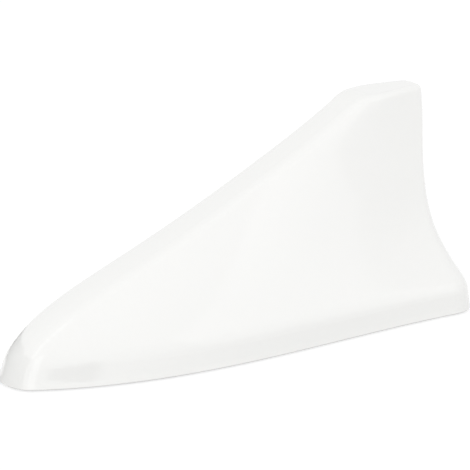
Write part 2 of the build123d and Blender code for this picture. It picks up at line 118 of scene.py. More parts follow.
class Wire:
    """A socket's value that takes part in plain arithmetic."""

    def __init__(self, graph: "Graph", socket: Optional[bpy.types.NodeSocket]) -> None:
        """Keep the socket with the graph that new Math nodes go into.

        Args:
            graph: Graph that the socket is in.
            socket: Output socket of one of its nodes, or None for a node without one.
        """
        self.graph = graph
        self.socket = socket

    def _math(self, operation: str, first: Value, second: Value = 0.0) -> "Wire":
        """Add a Math node for one or two values and return its result."""
        return self.graph.node("ShaderNodeMath", {"operation": operation}, {0: first, 1: second})

    def __add__(self, other: Value) -> "Wire":
        """Sum of two values."""
        return self._math("ADD", self, other)

    def __radd__(self, other: Value) -> "Wire":
        """Sum of a number and this value."""
        return self._math("ADD", other, self)

    def __sub__(self, other: Value) -> "Wire":
        """Difference of two values."""
        return self._math("SUBTRACT", self, other)

    def __rsub__(self, other: Value) -> "Wire":
        """Difference of a number and this value."""
        return self._math("SUBTRACT", other, self)

    def __mul__(self, other: Value) -> "Wire":
        """Product of two values."""
        return self._math("MULTIPLY", self, other)

    def __rmul__(self, other: Value) -> "Wire":
        """Product of a number and this value."""
        return self._math("MULTIPLY", other, self)

    def __truediv__(self, other: Value) -> "Wire":
        """Quotient of two values."""
        return self._math("DIVIDE", self, other)

    def __rtruediv__(self, other: Value) -> "Wire":
        """Quotient of a number and this value."""
        return self._math("DIVIDE", other, self)

    def __mod__(self, other: Value) -> "Wire":
        """Remainder that is never negative."""
        return self._math("FLOORED_MODULO", self, other)

    def __rmod__(self, other: Value) -> "Wire":
        """Remainder of a number by this value."""
        return self._math("FLOORED_MODULO", other, self)

    def __gt__(self, other: Value) -> "Wire":
        """One where this value is the greater, zero elsewhere."""
        return self._math("GREATER_THAN", self, other)

    def __lt__(self, other: Value) -> "Wire":
        """One where this value is the smaller, zero elsewhere."""
        return self._math("LESS_THAN", self, other)

    def at_least(self, other: Value) -> "Wire":
        """The greater of two values."""
        return self._math("MAXIMUM", self, other)

    def at_most(self, other: Value) -> "Wire":
        """The smaller of two values."""
        return self._math("MINIMUM", self, other)

    def rounded_down(self) -> "Wire":
        """Whole number at or below this value."""
        return self._math("FLOOR", self)

    def root(self) -> "Wire":
        """Square root."""
        return self._math("SQRT", self)

    def cosine(self) -> "Wire":
        """Cosine of an angle in radians."""
        return self._math("COSINE", self)

    def sine(self) -> "Wire":
        """Sine of an angle in radians."""
        return self._math("SINE", self)


class Graph:
    """Node tree that is written as expressions."""

    def __init__(self, tree: bpy.types.NodeTree) -> None:
        """Take over a node tree and empty it.

        Args:
            tree: Tree of a material, of the world or of a modifier.
        """
        self.tree = tree
        self.tree.nodes.clear()

    def node(
        self,
        kind: str,
        settings: Optional[Mapping[str, Any]] = None,
        inputs: Optional[Inputs] = None,
        output: Union[str, int] = 0,
    ) -> Wire:
        """Add a node and return one of its outputs.

        Args:
            kind: Blender's name for the node's type.
            settings: Properties to set first; "stops" holds a ramp's places and grey levels.
            inputs: Values or links of its sockets, by name or number; a list links several to one.
            output: Socket that is returned, by name or number.

        Returns:
            The chosen output as a value for expressions.
        """
        made = self.tree.nodes.new(kind)
        for name, setting in (settings or {}).items():
            if name == "stops":
                self._set_stops(made.color_ramp, setting)
            else:
                setattr(made, name, setting)
        for key, value in (inputs or {}).items():
            links = value if isinstance(value, list) else [value]
            for link in links:
                if isinstance(link, Wire):
                    self.tree.links.new(link.socket, made.inputs[key])
                else:
                    made.inputs[key].default_value = link
        return Wire(self, made.outputs[output] if made.outputs else None)

    @staticmethod
    def _set_stops(ramp: bpy.types.ColorRamp, stops: Stops) -> None:
        """Give the two stops of a new ramp their places and grey levels.

        Args:
            ramp: Ramp of a new node.
            stops: Place and grey level of each stop.
        """
        for stop, (place, level) in zip(ramp.elements, stops):
            stop.position = place
            stop.color = grey(level)

    def coordinates(self) -> Wire:
        """Place on the surface in the frame, in metres."""
        return self.node("ShaderNodeTexCoord", output="Object")

    def split(self, vector: Wire) -> tuple[Wire, Wire, Wire]:
        """The three components of a vector."""
        x, y, z = (self.node("ShaderNodeSeparateXYZ", None, {0: vector}, axis.value) for axis in Axis)
        return x, y, z

    def join(self, x: Value, y: Value, z: Value) -> Wire:
        """A vector from its three components."""
        return self.node("ShaderNodeCombineXYZ", None, {0: x, 1: y, 2: z})

    def stretched(self, vector: Wire, factors: Point) -> Wire:
        """A place with its components scaled."""
        return self.node("ShaderNodeVectorMath", {"operation": "MULTIPLY"}, {0: vector, 1: factors})

    def noise(self, vector: Wire, scale: float, detail: float) -> Wire:
        """Soft noise from zero to one.

        Args:
            vector: Place on the surface.
            scale: Lumps in a metre.
            detail: Number of finer layers.

        Returns:
            The noise value.
        """
        return self.node("ShaderNodeTexNoise", None, {"Vector": vector, "Scale": scale, "Detail": detail})

    def ramp(self, value: Wire, stops: Stops) -> Wire:
        """Value read off a ramp of grey levels."""
        return self.node("ShaderNodeValToRGB", {"stops": stops}, {0: value})

    def blend(self, factor: Value, first: Union[Wire, Color], second: Union[Wire, Color]) -> Wire:
        """Colour between two colours.

        Args:
            factor: Share of the second colour.
            first: Colour at zero.
            second: Colour at one.

        Returns:
            The mixed colour.
        """
        start, end = (value if isinstance(value, Wire) else (*value, 1.0) for value in (first, second))
        inputs = {0: factor, MIX_FIRST_COLOR: start, MIX_SECOND_COLOR: end}
        return self.node("ShaderNodeMix", {"data_type": "RGBA"}, inputs, MIXED_COLOR)

    def bump(self, height: Wire, depth: float) -> Wire:
        """Normal of a surface with fine relief.

        Args:
            height: Relief from zero to one.
            depth: Height in metres that one stands for.

        Returns:
            The normal.
        """
        return self.node("ShaderNodeBump", None, {"Height": height, "Distance": depth})

    def diffuse(self, level: float) -> Wire:
        """Matt grey shader of one level."""
        return self.node("ShaderNodeBsdfDiffuse", None, {"Color": grey(level)})

    def between(self, factor: Wire, first: Wire, second: Wire) -> Wire:
        """Shader between two shaders.

        Args:
            factor: Share of the second shader.
            first: Shader at zero.
            second: Shader at one.

        Returns:
            The mixed shader.
        """
        return self.node("ShaderNodeMixShader", None, {0: factor, 1: first, 2: second})

    def close(self, shader: Wire) -> None:
        """End a material's graph in a shader."""
        self.node("ShaderNodeOutputMaterial", None, {"Surface": shader})

    def surface(self, inputs: Inputs) -> None:
        """End a material's graph in a Principled surface with the given inputs."""
        self.close(self.node("ShaderNodeBsdfPrincipled", None, inputs))


def grey(level: float) -> tuple[float, float, float, float]:
    """Opaque grey of one level."""
    return level, level, level, 1.0


def add_object(name: str, data: bpy.types.ID) -> bpy.types.Object:
    """Make an object of some data and put it in the scene.

    Args:
        name: Name of the object.
        data: Its mesh, lamp or camera.

    Returns:
        The object, at the origin.
    """
    made = bpy.data.objects.new(name, data)
    bpy.context.scene.collection.objects.link(made)
    return made


def aim(thing: bpy.types.Object, place: Vector, way: Vector) -> None:
    """Put a lamp or the camera at its place.

    Args:
        thing: Lamp or camera.
        place: Where it stands.
        way: Direction that it looks in.
    """
    thing.location = place
    thing.rotation_mode = "QUATERNION"
    thing.rotation_quaternion = way.to_track_quat("-Z", "Y")


def smooth(mesh: bpy.types.Mesh) -> None:
    """Shade a mesh smoothly between its sharp edges."""
    mesh.shade_smooth()
    mesh.set_sharp_from_angle(angle=SHARP_EDGE)


def new_material(name: str) -> tuple[bpy.types.Material, Graph]:
    """Start a material.

    Args:
        name: Name of the material.

    Returns:
        The material and its empty graph.
    """
    material = bpy.data.materials.new(name)
    material.use_nodes = True
    return material, Graph(material.node_tree)


def add_stage(
    name: str, points: Sequence[Point], faces: Sequence[tuple[int, ...]], material: bpy.types.Material
) -> bpy.types.Object:
    """Make a surface of the set, which isn't part of the aerial.

    Args:
        name: Name of the surface.
        points: Its corners.
        faces: Its faces, as numbers of corners.
        material: Its material.

    Returns:
        The object.
    """
    mesh = bpy.data.meshes.new(name)
    mesh.from_pydata(points, [], faces)
    mesh.materials.append(material)
    stage = add_object(name, mesh)
    return stage


class Maker:
    """Geometry Nodes tree with named sizes that is run once and leaves a plain mesh."""

    def __init__(self, name: str) -> None:
        """Start an empty tree.

        Args:
            name: Name of the piece that the tree makes.
        """
        self.name = name
        self.tree = bpy.data.node_groups.new(name, "GeometryNodeTree")
        self.tree.interface.new_socket("Geometry", in_out="OUTPUT", socket_type="NodeSocketGeometry")
        self.graph = Graph(self.tree)
        self.values: dict[str, float] = {}

    def size(self, label: str, value: float) -> Wire:
        """Add a named input and return it for expressions.

        Args:
            label: Name of the input, in words.
            value: What the modifier sets it to.

        Returns:
            The input's value inside the tree.
        """
        socket = self.tree.interface.new_socket(label, in_out="INPUT", socket_type="NodeSocketFloat")
        self.values[socket.identifier] = value
        return self.graph.node("NodeGroupInput", output=label)

    def sizes(self, word: str, values: Point) -> tuple[Wire, Wire, Wire]:
        """Add the length, width and height of a block as named inputs.

        Args:
            word: What the block is.
            values: Its three sizes in millimetres.

        Returns:
            The three inputs.
        """
        labels = (f"{word} {label}" for label in ("length", "width", "height"))
        length, width, height = (self.size(label, value * MM) for label, value in zip(labels, values))
        return length, width, height

    def moved(self, geometry: Wire, place: Value = UNMOVED, turn: Value = UNTURNED) -> Wire:
        """Geometry turned and then moved."""
        inputs = {0: geometry, "Translation": place, "Rotation": turn}
        return self.graph.node("GeometryNodeTransform", None, inputs)

    def joined(self, pieces: Sequence[Wire]) -> Wire:
        """Several pieces of geometry as one."""
        return self.graph.node("GeometryNodeJoinGeometry", None, {0: list(pieces)})

    def box(self, x: Value, y: Value, z: Value) -> Wire:
        """Block round the origin with three edge lengths."""
        return self.graph.node("GeometryNodeMeshCube", None, {"Size": self.graph.join(x, y, z)})

    def end_blocks(self, thick: Wire, length: Wire, width: Wire, height: Wire) -> list[Wire]:
        """Two blocks that stand at the ends of a part, inside its length.

        Args:
            thick: Thickness of each block.
            length: Length of the part.
            width: Width of the part.
            height: Height of the part.

        Returns:
            The two blocks.
        """
        reach = 0.5 * length - 0.5 * thick
        return [
            self.moved(self.box(thick, width, height), self.graph.join(side * reach, 0.0, 0.5 * height))
            for side in BOTH_SIDES
        ]

    def index(self) -> Wire:
        """Number of a point in its row."""
        return self.graph.node("GeometryNodeInputIndex")

    def copies(self, count: int, place: Wire, piece: Wire, turn: Value = UNTURNED) -> Wire:
        """A piece repeated on points whose places follow a rule.

        Args:
            count: Number of copies.
            place: Place of each point, worked out from its number.
            piece: Geometry that is repeated.
            turn: Turn of each copy in radians.

        Returns:
            The instances.
        """
        points = self.graph.node("GeometryNodePoints", None, {"Count": count, "Position": place})
        inputs = {"Points": points, "Instance": piece, "Rotation": turn}
        return self.graph.node("GeometryNodeInstanceOnPoints", None, inputs)

    def swept(self, curve: Wire, wire_radius: Value, sides: int) -> Wire:
        """Wire along a curve, closed at its ends.

        Args:
            curve: Line that the wire follows.
            wire_radius: Radius of the wire.
            sides: Number of sides of its section.

        Returns:
            The wire's mesh.
        """
        section = {"Resolution": sides, "Radius": wire_radius}
        ring = self.graph.node("GeometryNodeCurvePrimitiveCircle", None, section)
        inputs = {"Curve": curve, "Profile Curve": ring, "Fill Caps": True}
        return self.graph.node("GeometryNodeCurveToMesh", None, inputs)

    def run(self, geometry: Wire, material: bpy.types.Material) -> bpy.types.Object:
        """End the tree, run it and keep its result as a plain mesh.

        Args:
            geometry: What the tree has made.
            material: Finish of the piece.

        Returns:
            The piece, at the origin, without its modifier.
        """
        real = self.graph.node("GeometryNodeRealizeInstances", None, {0: geometry})
        dressed = self.graph.node("GeometryNodeSetMaterial", None, {0: real, "Material": material})
        self.graph.node("NodeGroupOutput", None, {0: dressed})
        piece = add_object(self.name, bpy.data.meshes.new(self.name))
        modifier = piece.modifiers.new(self.name, "NODES")
        modifier.node_group = self.tree
        for identifier, value in self.values.items():
            modifier[identifier] = value
        evaluated = piece.evaluated_get(bpy.context.evaluated_depsgraph_get())
        mesh = bpy.data.meshes.new_from_object(evaluated)
        piece.modifiers.remove(modifier)
        piece.data = mesh
        mesh.name = self.name
        # Blocks and cylinders bring an empty slot with them, ahead of the one that Set Material adds.
        mesh.materials.clear()
        mesh.materials.append(material)
        smooth(mesh)
        return piece


@dataclass(frozen=True)
class Finish:
    """What every finish has: a name, a colour and a roughness."""

    name: str
    color: Color
    roughness: float

    def build(self) -> bpy.types.Material:
        """Make the material.

        Returns:
            The finished material.
        """
        material, graph = new_material(self.name)
        material.diffuse_color = (*self.color, 1.0)
        self.draw(graph)
        return material

    def shade(self, factor: float) -> Color:
        """The finish's colour made lighter or darker."""
        red, green, blue = (min(1.0, factor * level) for level in self.color)
        return red, green, blue

    def draw(self, graph: Graph) -> None:
        """Write the finish's nodes; each kind of finish has its own."""
        raise NotImplementedError


@dataclass(frozen=True)
class GlossMoulding(Finish):
    """Gloss moulding under a clear coat: even colour, faint flow marks and the skin of the coat."""

    flow_scale: float = 14.0
    flow_tone: float = 0.985
    flow_dulling: float = 0.05
    dust_scale: float = 2600.0
    dust_dulling: float = 0.03
    peel_scale: float = 620.0
    peel_depth: float = 0.000006
    coat: float = 0.4
    coat_roughness: float = 0.05
    ior: float = 1.49

    def draw(self, graph: Graph) -> None:
        """Write the gloss coat's nodes.

        Args:
            graph: Empty graph of the material.
        """
        place = graph.coordinates()
        flow = graph.noise(place, self.flow_scale, detail=3.0)
        peel = graph.noise(place, self.peel_scale, detail=1.0)
        dust = graph.noise(place, self.dust_scale, detail=0.0)
        graph.surface(
            {
                "Base Color": graph.blend(flow, self.color, self.shade(self.flow_tone)),
                "Roughness": self.roughness + self.flow_dulling * flow + self.dust_dulling * dust,
                "Coat Weight": self.coat,
                "Coat Roughness": self.coat_roughness,
                "IOR": self.ior,
                "Normal": graph.bump(peel, self.peel_depth),
            }
        )


@dataclass(frozen=True)
class GrainedMoulding(Finish):
    """Moulding with a spark-eroded grain, with a little painted light on the grain's tops and painted shade
    in its hollows.
    """

    grain_scale: float = 1900.0
    grain_depth: float = 0.00003
    grain_share: float = 0.7
    grain_dulling: float = 0.14
    cloud_scale: float = 40.0
    hollow_shade_tone: float = 0.9
    top_light_tone: float = 1.3
    ior: float = 1.5

    def draw(self, graph: Graph) -> None:
        """Write the grain's nodes.

        Args:
            graph: Empty graph of the material.
        """
        place = graph.coordinates()
        grain = graph.noise(place, self.grain_scale, detail=3.0)
        cloud = graph.noise(place, self.cloud_scale, detail=2.0)
        # Painted light and shade: the colour follows the grain's relief, lighter on its tops and darker in
        # its hollows; the cloud share is random tone.
        relief_light_and_cloud = self.grain_share * grain + (1.0 - self.grain_share) * cloud
        graph.surface(
            {
                "Base Color": graph.blend(relief_light_and_cloud, self.shade(self.hollow_shade_tone), self.shade(self.top_light_tone)),
                "Roughness": self.roughness + self.grain_dulling * (grain - NOISE_MIDDLE),
                "IOR": self.ior,
                "Normal": graph.bump(grain, self.grain_depth),
            }
        )


@dataclass(frozen=True)
class SoftRubber(Finish):
    """Rubber with a dry bloom in patches."""

    bloom: Color = (0.09, 0.09, 0.088)
    bloom_scale: float = 90.0
    bloom_stops: Stops = ((0.42, 0.0), (0.75, 0.5))
    bloom_dulling: float = 0.1
    pore_scale: float = 2400.0
    pore_depth: float = 0.00002
    specular: float = 0.35

    def draw(self, graph: Graph) -> None:
        """Write the rubber's nodes.

        Args:
            graph: Empty graph of the material.
        """
        place = graph.coordinates()
        patch = graph.ramp(graph.noise(place, self.bloom_scale, detail=4.0), self.bloom_stops)
        pores = graph.noise(place, self.pore_scale, detail=2.0)
        graph.surface(
            {
                "Base Color": graph.blend(patch, self.color, self.bloom),
                "Roughness": self.roughness + self.bloom_dulling * patch,
                "Specular IOR Level": self.specular,
                "Normal": graph.bump(pores, self.pore_depth),
            }
        )


@dataclass(frozen=True)
class CellFoam(Finish):
    """Foam with open cells, with painted shade in their pits and their own colour on their walls."""

    cell_scale: float = 1500.0
    cell_depth: float = 0.00012
    wall_stops: Stops = ((0.1, 0.0), (0.55, 1.0))
    wall_gloss: float = 0.08
    pit_shade_tone: float = 0.45
    specular: float = 0.25

    def draw(self, graph: Graph) -> None:
        """Write the foam's nodes.

        Args:
            graph: Empty graph of the material.
        """
        inputs = {"Vector": graph.coordinates(), "Scale": self.cell_scale}
        cell = graph.node("ShaderNodeTexVoronoi", {"feature": "SMOOTH_F1"}, inputs, "Distance")
        # Painted shade: this mask darkens the colour to the pit tone in the pits of the cells, where shade
        # falls; it also sets the relief and the roughness.
        wall = graph.ramp(cell, self.wall_stops)
        graph.surface(
            {
                "Base Color": graph.blend(wall, self.shade(self.pit_shade_tone), self.color),
                "Roughness": self.roughness - self.wall_gloss * wall,
                "Specular IOR Level": self.specular,
                "Normal": graph.bump(wall, self.cell_depth),
            }
        )


@dataclass(frozen=True)
class PlatedMetal(Finish):
    """Plated or bare metal with fine drawing marks along one axis and dull spots."""

    marks_along: Axis = Axis.X
    dull: Color = (0.3, 0.3, 0.3)
    mark_scale: float = 5200.0
    mark_stretch: float = 0.03
    mark_depth: float = 0.000008
    mark_dulling: float = 0.16
    spot_scale: float = 240.0
    spot_stops: Stops = ((0.45, 0.0), (0.85, 0.3))
    spot_dulling: float = 0.2

    def draw(self, graph: Graph) -> None:
        """Write the metal's nodes.

        Args:
            graph: Empty graph of the material.
        """
        place = graph.coordinates()
        x, y, z = (self.mark_stretch if axis is self.marks_along else 1.0 for axis in Axis)
        marks = graph.noise(graph.stretched(place, (x, y, z)), self.mark_scale, detail=2.0)
        spots = graph.ramp(graph.noise(place, self.spot_scale, detail=4.0), self.spot_stops)
        drawn = self.roughness + self.mark_dulling * (marks - NOISE_MIDDLE)
        graph.surface(
            {
                "Base Color": graph.blend(spots, self.color, self.dull),
                "Metallic": 1.0,
                "Roughness": drawn + self.spot_dulling * spots,
                "Normal": graph.bump(marks, self.mark_depth),
            }
        )


@dataclass(frozen=True)
class LacqueredBoard(Finish):
    """Circuit board under lacquer, with its printed copper showing through."""

    printed: Print = Print.AMPLIFIER
    track: Color = (0.11, 0.33, 0.16)
    track_gloss: float = 0.05
    pitch: float = 0.0016
    share: float = 0.36
    run: float = 0.0062
    run_shift: float = 0.37
    run_chance: float = 0.5
    run_seed: float = 0.5
    tip_x: float = -0.0286
    tip_z: float = 0.03
    lean: float = 2.29
    rear_x: float = 0.071
    margin: float = 0.0014
    weave_scale: float = 2800.0
    weave_share: float = 0.35
    weave_tone: float = 0.8
    weave_dulling: float = 0.12
    weave_relief: float = 0.2
    relief: float = 0.00003
    coat: float = 0.3

    def draw(self, graph: Graph) -> None:
        """Write the board's nodes.

        Args:
            graph: Empty graph of the material.
        """
        place = graph.coordinates()
        x, y, z = graph.split(place)
        if self.printed is Print.AMPLIFIER:
            track = self._runs(graph, x, y).at_least(self._runs(graph, y, x))
        else:
            track = self._meander(x, z)
        weave = graph.noise(place, self.weave_scale, detail=1.0)
        color = graph.blend(track, self.color, self.track)
        graph.surface(
            {
                "Base Color": graph.blend(self.weave_share * weave, color, self.shade(self.weave_tone)),
                "Roughness": self.roughness + self.weave_dulling * weave - self.track_gloss * track,
                "Coat Weight": self.coat,
                "Normal": graph.bump(track + self.weave_relief * weave, self.relief),
            }
        )

    def _runs(self, graph: Graph, along: Wire, across: Wire) -> Wire:
        """Short tracks in lanes, each begun and ended by chance.

        Args:
            graph: Graph of the finish.
            along: Place along the tracks.
            across: Place across them.

        Returns:
            One on a track, zero elsewhere.
        """
        lane = across / self.pitch
        row = lane.rounded_down()
        step = (along / self.run + self.run_shift * row).rounded_down()
        inputs = {"Vector": graph.join(step, row, self.run_seed)}
        chance = graph.node("ShaderNodeTexWhiteNoise", {"noise_dimensions": "3D"}, inputs)
        return (lane % 1.0 < self.share) * (chance > self.run_chance)

    def _meander(self, x: Wire, z: Wire) -> Wire:
        """One wide line that goes to and fro between the board's rear and its sloping edge.

        Args:
            x: Place along the aerial.
            z: Height.

        Returns:
            One on the line, zero elsewhere.
        """
        width = self.pitch * self.share
        level = z / self.pitch
        odd = level.rounded_down() % 2.0
        inside = (x - self.tip_x - self.lean * (z - self.tip_z)) - self.margin
        short = self.rear_x - self.margin - x
        lanes = level % 1.0 < self.share
        rear = (short < width) * (1.0 - odd)
        front = (inside < width) * odd
        return lanes.at_least(rear).at_least(front) * (inside > 0.0) * (short > 0.0)


@dataclass(frozen=True)
class FiredChip(Finish):
    """Fired ceramic, ferrite or moulded chip case, speckled."""

    speck: Color = (0.3, 0.3, 0.3)
    speck_scale: float = 6500.0
    speck_stops: Stops = ((0.5, 0.0), (0.72, 0.7))
    speck_dulling: float = 0.15
    speck_depth: float = 0.00001

    def draw(self, graph: Graph) -> None:
        """Write the speckle's nodes.

        Args:
            graph: Empty graph of the material.
        """
        specks = graph.noise(graph.coordinates(), self.speck_scale, detail=4.0)
        speckle = graph.ramp(specks, self.speck_stops)
        graph.surface(
            {
                "Base Color": graph.blend(speckle, self.color, self.speck),
                "Roughness": self.roughness + self.speck_dulling * speckle,
                "Normal": graph.bump(speckle, self.speck_depth),
            }
        )


WHITE_GLOSS = GlossMoulding("cover_white", (0.92, 0.92, 0.905), 0.07)
BLACK_GRAIN = GrainedMoulding("base_black", (0.035, 0.035, 0.038), 0.55)
SEAL_RUBBER = SoftRubber("seal_rubber", (0.03, 0.03, 0.03), 0.7)
GROMMET_RUBBER = SoftRubber("grommet_rubber", (0.025, 0.025, 0.026), 0.6)
TAPE_FOAM = CellFoam("tape_foam", (0.06, 0.06, 0.065), 0.85)
RATTLE_FOAM = CellFoam("rattle_foam", (0.16, 0.16, 0.17), 0.9, cell_scale=1100.0, cell_depth=0.0002)
SCREW_STEEL = PlatedMetal("screw_steel", (0.62, 0.63, 0.65), 0.3, Axis.Z)
TIN_PLATE = PlatedMetal("tin_plate", (0.72, 0.72, 0.7), 0.32, Axis.X)
COIL_COPPER = PlatedMetal("coil_copper", (0.72, 0.34, 0.16), 0.28, Axis.Z, dull=(0.4, 0.16, 0.07))
CONTACT_BRASS = PlatedMetal("contact_brass", (0.83, 0.66, 0.3), 0.22, Axis.Z, dull=(0.5, 0.36, 0.14))
BOARD_GREEN = LacqueredBoard("board_green", (0.05, 0.2, 0.11), 0.35)
ELEMENT_GREEN = LacqueredBoard(
    "element_green", (0.05, 0.2, 0.11), 0.35, Print.ELEMENT, track=(0.35, 0.3, 0.12), pitch=0.006, share=0.5
)
FORMER_WHITE = GrainedMoulding("former_white", (0.72, 0.7, 0.64), 0.5)
SOCKET_CREAM = GrainedMoulding(
    "socket_cream", (0.7, 0.66, 0.57), 0.45, grain_scale=2600.0, grain_depth=0.00001
)
CHIP_BLACK = FiredChip("chip_black", (0.03, 0.03, 0.032), 0.5, speck=(0.06, 0.06, 0.06))
CAPACITOR_TAN = FiredChip("capacitor_tan", (0.55, 0.42, 0.28), 0.4, speck=(0.42, 0.31, 0.2))
INDUCTOR_GREY = FiredChip("inductor_grey", (0.16, 0.16, 0.17), 0.6, speck=(0.24, 0.24, 0.25))


@dataclass
class Paintbox:
    """Materials that are already made, by the finish they come from."""

    made: dict[str, bpy.types.Material] = field(default_factory=dict)

    def material(self, finish: Finish) -> bpy.types.Material:
        """Material of a finish, made when it is first asked for.

        Args:
            finish: Finish that is wanted.

        Returns:
            Its one material.
        """
        if finish.name not in self.made:
            self.made[finish.name] = finish.build()
        return self.made[finish.name]


@dataclass
class SubAssembly:
    """Pieces of the aerial that belong together. Their sizes are in millimetres."""

    frame: Frame
    paints: Paintbox

    def dress(self, finishes: Mapping[str, Finish]) -> None:
        """Give CAD nodes their finishes.

        Args:
            finishes: Finish of each node, by the node's name.
        """
        for name, finish in finishes.items():
            node = self.frame["nodes"][name]
            node.data.materials.clear()
            node.data.materials.append(self.paints.material(finish))
            log.info("dressed %s with %s", name, finish.name)

    def place(self, piece: bpy.types.Object, finish: Finish, replaced: str = "") -> None:
        """Tie a new piece to the aerial's body.

        Args:
            piece: Finished piece.
            finish: Its finish, which is not used.
            replaced: CAD node that it stands in for, if any.
        """
        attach(piece, "root")
        if replaced:
            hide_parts(replaced)
        log.info("made %s: %d faces", piece.name, len(piece.data.polygons))

    def make(self, maker: Maker, geometry: Wire, finish: Finish, replaced: str = "") -> None:
        """Run a tree in a finish and tie its piece to the aerial's body.

        Args:
            maker: Tree of the piece.
            geometry: What the tree has made.
            finish: Finish of the piece.
            replaced: CAD node that it stands in for, if any.
        """
        self.place(maker.run(geometry, self.paints.material(finish)), finish, replaced)

    def build(self) -> None:
        """Make and dress the sub-assembly; each one has its own way."""
        raise NotImplementedError


@dataclass
class Casing(SubAssembly):
    """Cover, base plate, their seal and the inlet of the lead."""

    def build(self) -> None:
        """Dress the casing's CAD nodes, which have the shapes already."""
        self.dress(
            {
                "cover_shell": WHITE_GLOSS,
                "base_plate": BLACK_GRAIN,
                "cover_seal": SEAL_RUBBER,
                "lead_grommet": GROMMET_RUBBER,
            }
        )


@dataclass
class FoamPads(SubAssembly):
    """Foam tape and foam strip, pressed between other pieces so that their cut sides swell a little."""

    rows: int = 3
    tape_swell: float = 0.12
    strip_swell: float = 0.3
    flat_angle: float = 0.002
    merge_distance: float = 0.001
    upright_share: float = 0.9
    rim_share: float = 0.99

    def build(self) -> None:
        """Make both pieces in the places of their nodes."""
        self._swollen("adhesive_pad", "foam_tape", TAPE_FOAM, self.tape_swell)
        self._swollen("rattle_pad", "foam_strip", RATTLE_FOAM, self.strip_swell)

    def _swollen(self, node: str, name: str, finish: Finish, swell: float) -> None:
        """Copy a node's mesh, divide its upright sides in rows and push the middle rows out.

        Args:
            node: CAD node that is copied and replaced.
            name: Name of the new piece.
            finish: Its finish.
            swell: How far the middle of a side stands out, in millimetres.
        """
        work = bmesh.new()
        work.from_mesh(self.frame["nodes"][node].data)
        bmesh.ops.remove_doubles(work, verts=work.verts, dist=self.merge_distance * MM)
        bmesh.ops.dissolve_limit(work, angle_limit=self.flat_angle, verts=work.verts, edges=work.edges)
        low, high = (corner[Axis.Z.value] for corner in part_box(node))
        climb = self.upright_share * (high - low)
        upright = [edge for edge in work.edges if abs(edge.verts[0].co.z - edge.verts[1].co.z) > climb]
        bmesh.ops.subdivide_edges(work, edges=upright, cuts=self.rows)
        work.normal_update()
        for vertex in work.verts:
            share = 2.0 * (vertex.co.z - low) / (high - low) - 1.0
            away = Vector((vertex.normal.x, vertex.normal.y, 0.0))
            if abs(share) < self.rim_share:
                vertex.co += away.normalized() * (swell * MM * (1.0 - share * share))
        mesh = bpy.data.meshes.new(name)
        work.to_mesh(mesh)
        work.free()
        mesh.materials.append(self.paints.material(finish))
        smooth(mesh)
        piece = add_object(name, mesh)
        self.place(piece, finish, node)


